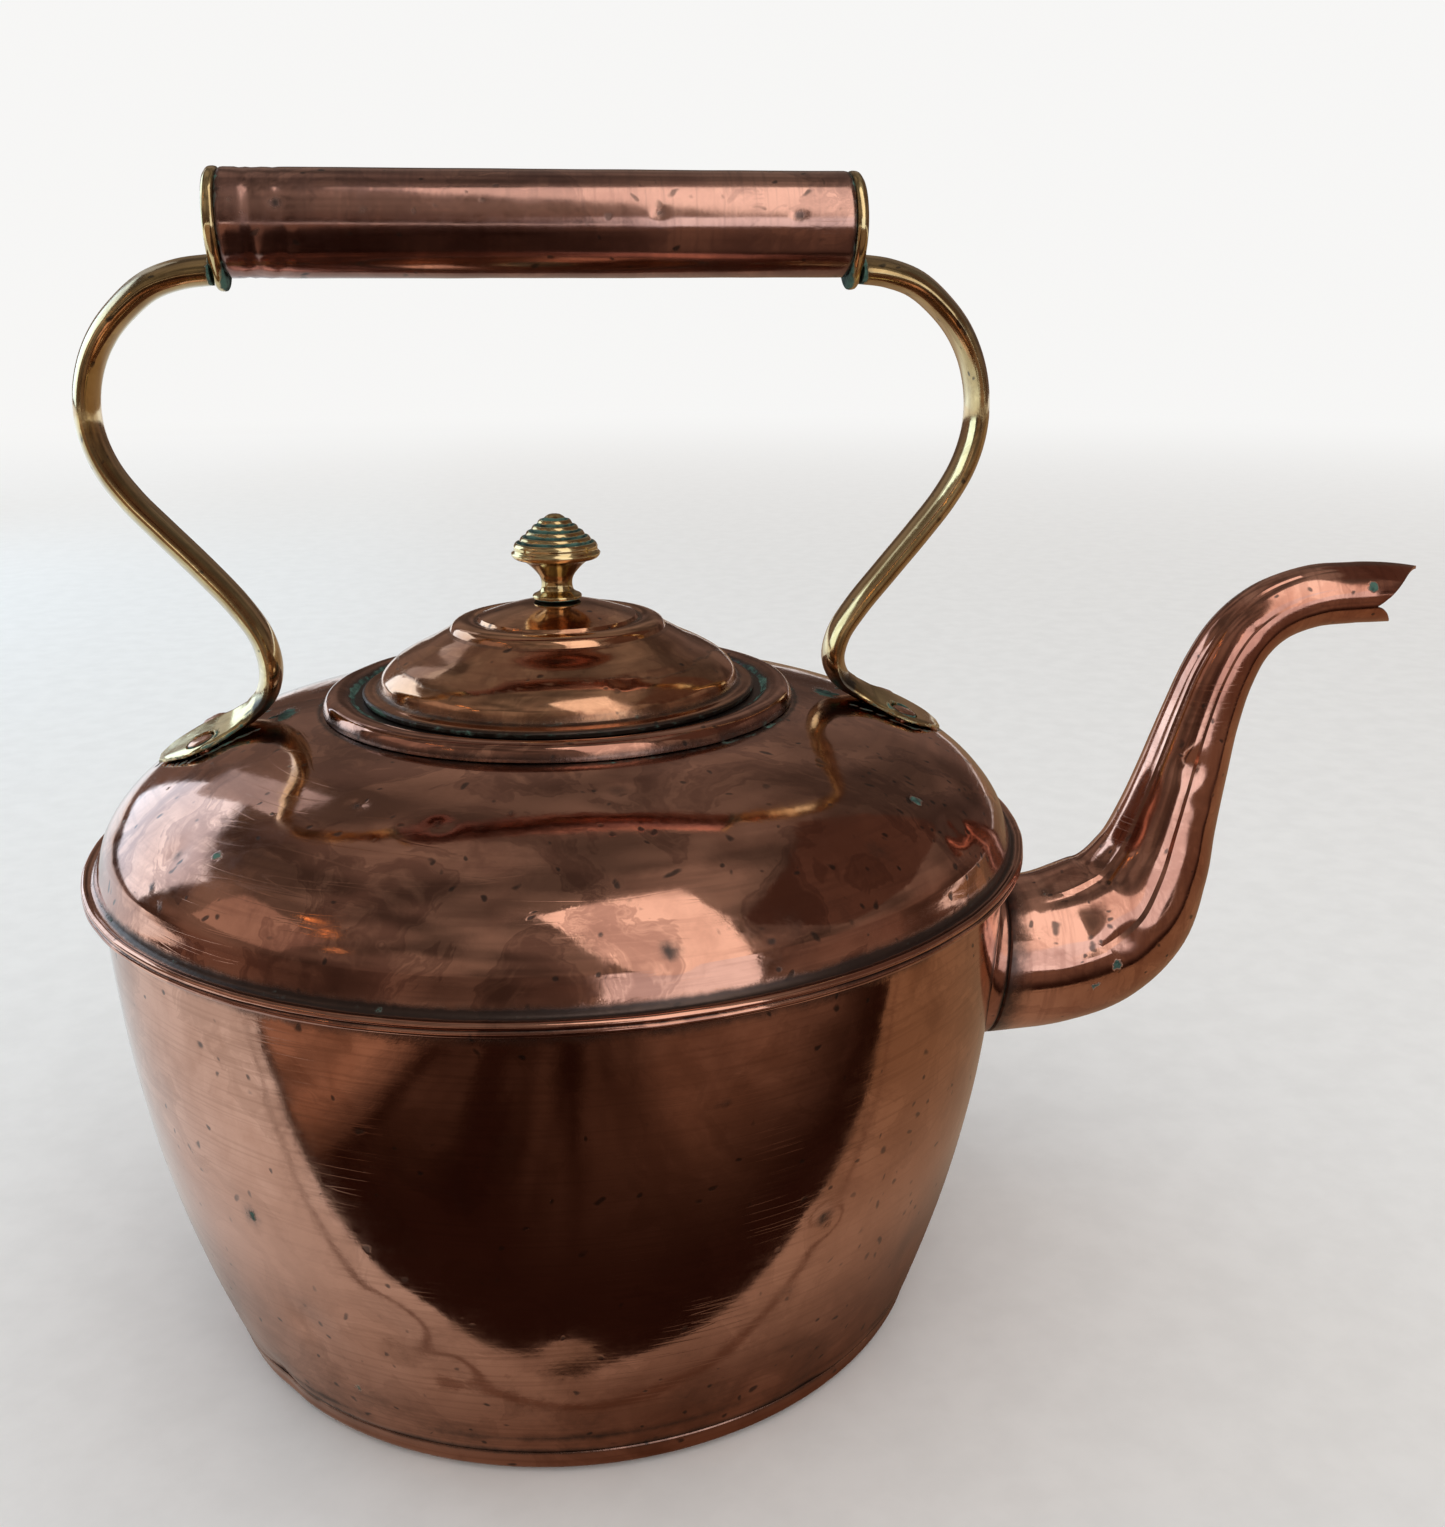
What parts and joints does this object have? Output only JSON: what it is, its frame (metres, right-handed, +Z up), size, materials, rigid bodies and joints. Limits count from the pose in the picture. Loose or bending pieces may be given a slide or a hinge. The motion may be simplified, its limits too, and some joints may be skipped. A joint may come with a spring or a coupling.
{
  "type": "kettle",
  "caption": "Round copper kettle with a swan-neck spout, a lift-off lid with a turned brass knob, and a riveted brass handle with a copper grip.",
  "frame": {"origin": "centre of the flat underside, on the surface that the kettle stands on", "axes": "+Z up; +X from the body's centre towards the spout; the handle's grip lies along X"},
  "size_m": [0.3638, 0.2452, 0.2946],
  "materials": {
    "body_copper": "aged hand-polished copper sheet, pinkish brown",
    "spout_copper": "aged polished copper, a little redder",
    "lid_copper": "aged polished copper, orange where rubbed",
    "grip_copper": "dark handled copper with small pits",
    "rivet_copper": "hammered copper",
    "handle_brass": "cast and filed yellow brass, worn bright on its edges",
    "dark_brass": "dull brass"
  },
  "bodies": {
    "kettle": {"base_plate": "body_copper", "body_wall": "body_copper", "shoulder_dome": "body_copper", "lid_seat_ring": "body_copper", "spout_collar": "spout_copper", "spout": "spout_copper", "grip_tube": "grip_copper", "grip_end_rear": "handle_brass", "grip_end_front": "handle_brass", "strap_rear": "handle_brass", "strap_front": "handle_brass", "rivet_rear_near": "rivet_copper", "rivet_rear_far": "rivet_copper", "rivet_front_near": "rivet_copper", "rivet_front_far": "rivet_copper", "burr_rear_near": "rivet_copper", "burr_rear_far": "rivet_copper", "burr_front_near": "rivet_copper", "burr_front_far": "rivet_copper"},
    "lid_guide": {"lid_skirt": "lid_copper"},
    "lid": {"lid_shell": "lid_copper", "lid_knob": "handle_brass", "knob_washer": "dark_brass"}
  },
  "joints": [
    {"name": "lid_lift", "type": "slide", "parent": "kettle", "child": "lid_guide", "axis": [0, 0, 1], "range_m": [0, 0.045]},
    {"name": "lid_turn", "type": "hinge", "parent": "lid_guide", "child": "lid", "pos_m": [0, 0, 0.17], "axis": [0, 0, 1], "continuous": true}
  ]
}
